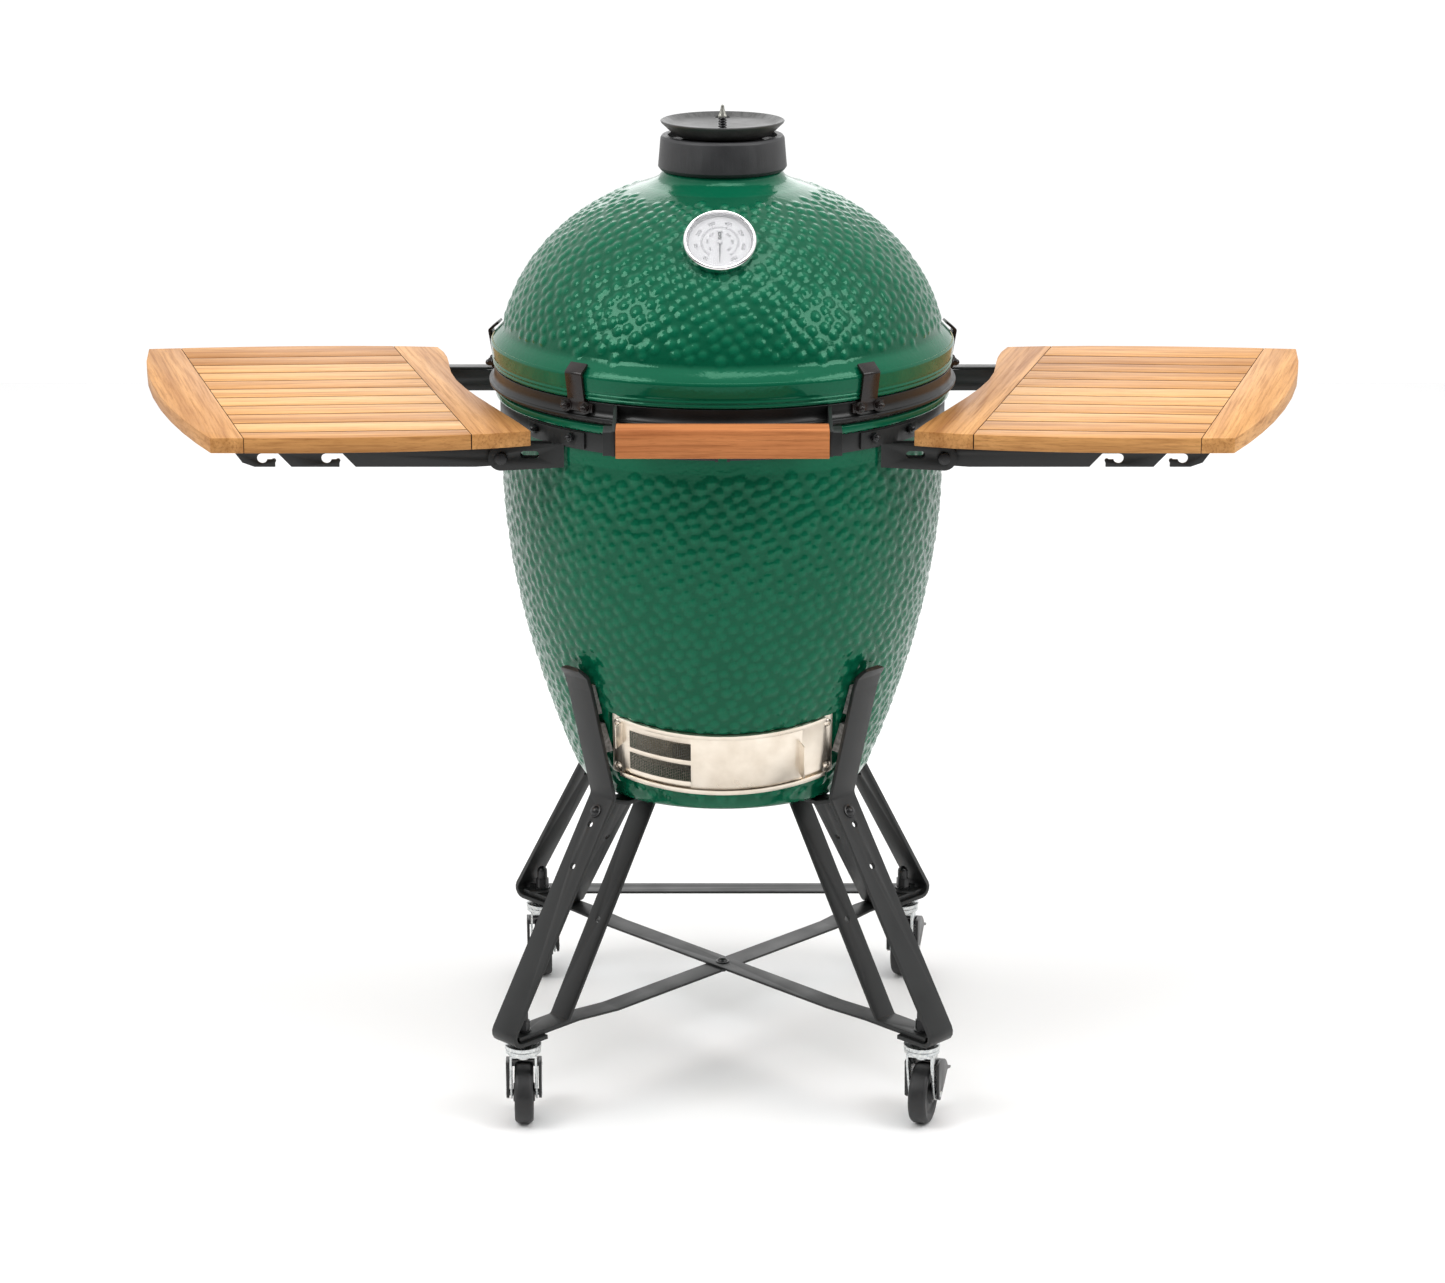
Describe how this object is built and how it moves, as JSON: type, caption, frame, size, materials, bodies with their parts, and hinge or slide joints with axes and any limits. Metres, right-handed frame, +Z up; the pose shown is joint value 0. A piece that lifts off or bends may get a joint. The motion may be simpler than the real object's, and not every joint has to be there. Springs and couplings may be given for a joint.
{
  "type": "kamado ceramic grill",
  "caption": "Egg-shaped green glazed ceramic charcoal grill with hinged dome, vent cap, draft door, folding slatted side shelves and a wheeled stand.",
  "frame": {"origin": "on the floor under the axis of the ceramic body", "axes": "+Z up, -Y towards the lid handle and draft door, +X towards the right shelf"},
  "size_m": [1.474, 0.69, 1.209],
  "materials": {
    "black_coat": "satin powder coat",
    "black_fastener": "semi-gloss",
    "clip_steel": "satin",
    "zinc": "bright zinc",
    "tyre": "matt",
    "black_plastic": "matt",
    "green_glaze": "gloss glaze over raised dimples",
    "felt": "felt",
    "fire_clay": "matt",
    "cast_iron": "raw",
    "stainless": "brushed",
    "mesh": "woven wire",
    "chrome": "polished",
    "dial_white": "matt",
    "needle_black": "matt",
    "lens": "clear",
    "cap_iron": "matt",
    "vent_iron": "satin",
    "handle_metal": "satin",
    "shelf_wood": "oiled",
    "grip_wood": "oiled"
  },
  "bodies": {
    "stand_and_base": {"leg_front_left": "black_coat", "leg_front_right": "black_coat", "leg_rear_left": "black_coat", "leg_rear_right": "black_coat", "inner_struts": "black_coat", "cradle_bars": "black_coat", "cross_braces": "black_coat", "rear_stretcher": "black_coat", "frame_bolts": "black_fastener", "leg_pads": "felt", "caster_stems": "zinc", "caster_nuts": "black_fastener", "base_shell": "green_glaze", "base_band": "black_coat", "band_bolts": "black_fastener", "base_gasket": "felt", "fire_box": "fire_clay", "fire_ring": "fire_clay", "fire_grate": "cast_iron", "cooking_grid": "stainless", "draft_frame": "stainless", "draft_screws": "stainless", "shelf_brackets": "black_coat", "shelf_pivots": "black_fastener", "hinge_base_bracket": "black_coat", "hinge_pin": "zinc", "hinge_springs": "stainless"},
    "lid": {"dome_shell": "green_glaze", "lid_band": "black_coat", "lid_gasket": "felt", "lid_clips": "clip_steel", "handle_bracket": "black_coat", "handle_grip": "grip_wood", "hinge_lid_bracket": "black_coat", "gauge_case": "chrome", "gauge_dial": "dial_white", "gauge_lens": "lens", "cap_collar": "cap_iron"},
    "gauge_needle": {"gauge_needle": "needle_black"},
    "vent_disc": {"vent_disc": "vent_iron", "vent_handle": "handle_metal"},
    "screen_door": {"screen_door": "stainless", "screen_mesh": "mesh"},
    "draft_door": {"draft_door": "stainless"},
    "left_shelf": {"left_shelf_arms": "black_coat", "left_shelf_boards": "shelf_wood"},
    "right_shelf": {"right_shelf_arms": "black_coat", "right_shelf_boards": "shelf_wood"},
    "caster_front_left": {"fork_front_left": "zinc"},
    "wheel_front_left": {"wheel_front_left": "tyre"},
    "brake_front_left": {"brake_front_left": "black_plastic"},
    "caster_front_right": {"fork_front_right": "zinc"},
    "wheel_front_right": {"wheel_front_right": "tyre"},
    "brake_front_right": {"brake_front_right": "black_plastic"},
    "caster_rear_left": {"fork_rear_left": "zinc"},
    "wheel_rear_left": {"wheel_rear_left": "tyre"},
    "brake_rear_left": {"brake_rear_left": "black_plastic"},
    "caster_rear_right": {"fork_rear_right": "zinc"},
    "wheel_rear_right": {"wheel_rear_right": "tyre"},
    "brake_rear_right": {"brake_rear_right": "black_plastic"}
  },
  "joints": [
    {"name": "lid_hinge", "type": "hinge", "parent": "stand_and_base", "child": "lid", "pos_m": [0, 0.32, 0.883], "axis": [-1, 0, 0], "range_deg": [0, 70]},
    {"name": "needle_turn", "type": "hinge", "parent": "lid", "child": "gauge_needle", "pos_m": [-0.003, -0.19, 1.08], "axis": [0, 0.6972, -0.7169], "range_deg": [0, 300]},
    {"name": "vent_swing", "type": "hinge", "parent": "lid", "child": "vent_disc", "pos_m": [0, 0.057, 1.18], "axis": [0, 0, 1], "range_deg": [0, 95]},
    {"name": "screen_slide", "type": "hinge", "parent": "stand_and_base", "child": "screen_door", "pos_m": [0, 0, 0.522], "axis": [0, -0.3338, 0.9426], "range_deg": [0, 22]},
    {"name": "draft_slide", "type": "hinge", "parent": "stand_and_base", "child": "draft_door", "pos_m": [0, 0, 0.522], "axis": [0, -0.3338, 0.9426], "range_deg": [-22, 7]},
    {"name": "right_shelf_fold", "type": "hinge", "parent": "stand_and_base", "child": "right_shelf", "pos_m": [0.258, 0, 0.824], "axis": [0, 1, 0], "range_deg": [0, 90]},
    {"name": "left_shelf_fold", "type": "hinge", "parent": "stand_and_base", "child": "left_shelf", "pos_m": [-0.258, 0, 0.824], "axis": [0, -1, 0], "range_deg": [0, 90]},
    {"name": "swivel_front_left", "type": "hinge", "parent": "stand_and_base", "child": "caster_front_left", "pos_m": [-0.2414, -0.2414, 0.1], "axis": [0, 0, 1], "continuous": true},
    {"name": "roll_front_left", "type": "hinge", "parent": "caster_front_left", "child": "wheel_front_left", "pos_m": [-0.24182, -0.22941, 0.0375], "axis": [0.9994, 0.0349, 0], "continuous": true},
    {"name": "brake_press_front_left", "type": "hinge", "parent": "caster_front_left", "child": "brake_front_left", "pos_m": [-0.24182, -0.22941, 0.0375], "axis": [-0.9994, -0.0349, 0], "range_deg": [0, 12]},
    {"name": "swivel_front_right", "type": "hinge", "parent": "stand_and_base", "child": "caster_front_right", "pos_m": [0.2414, -0.2414, 0.1], "axis": [0, 0, 1], "continuous": true},
    {"name": "roll_front_right", "type": "hinge", "parent": "caster_front_right", "child": "wheel_front_right", "pos_m": [0.24491, -0.22992, 0.0375], "axis": [0.9563, -0.2924, 0], "continuous": true},
    {"name": "brake_press_front_right", "type": "hinge", "parent": "caster_front_right", "child": "brake_front_right", "pos_m": [0.24491, -0.22992, 0.0375], "axis": [-0.9563, 0.2924, 0], "range_deg": [0, 12]},
    {"name": "swivel_rear_left", "type": "hinge", "parent": "stand_and_base", "child": "caster_rear_left", "pos_m": [-0.2414, 0.2414, 0.1], "axis": [0, 0, 1], "continuous": true},
    {"name": "roll_rear_left", "type": "hinge", "parent": "caster_rear_left", "child": "wheel_rear_left", "pos_m": [-0.24224, 0.25337, 0.0375], "axis": [0.9976, 0.0698, 0], "continuous": true},
    {"name": "brake_press_rear_left", "type": "hinge", "parent": "caster_rear_left", "child": "brake_rear_left", "pos_m": [-0.24224, 0.25337, 0.0375], "axis": [-0.9976, -0.0698, 0], "range_deg": [0, 12]},
    {"name": "swivel_rear_right", "type": "hinge", "parent": "stand_and_base", "child": "caster_rear_right", "pos_m": [0.2414, 0.2414, 0.1], "axis": [0, 0, 1], "continuous": true},
    {"name": "roll_rear_right", "type": "hinge", "parent": "caster_rear_right", "child": "wheel_rear_right", "pos_m": [0.2443, 0.25304, 0.0375], "axis": [0.9703, -0.2419, 0], "continuous": true},
    {"name": "brake_press_rear_right", "type": "hinge", "parent": "caster_rear_right", "child": "brake_rear_right", "pos_m": [0.2443, 0.25304, 0.0375], "axis": [-0.9703, 0.2419, 0], "range_deg": [0, 12]}
  ]
}
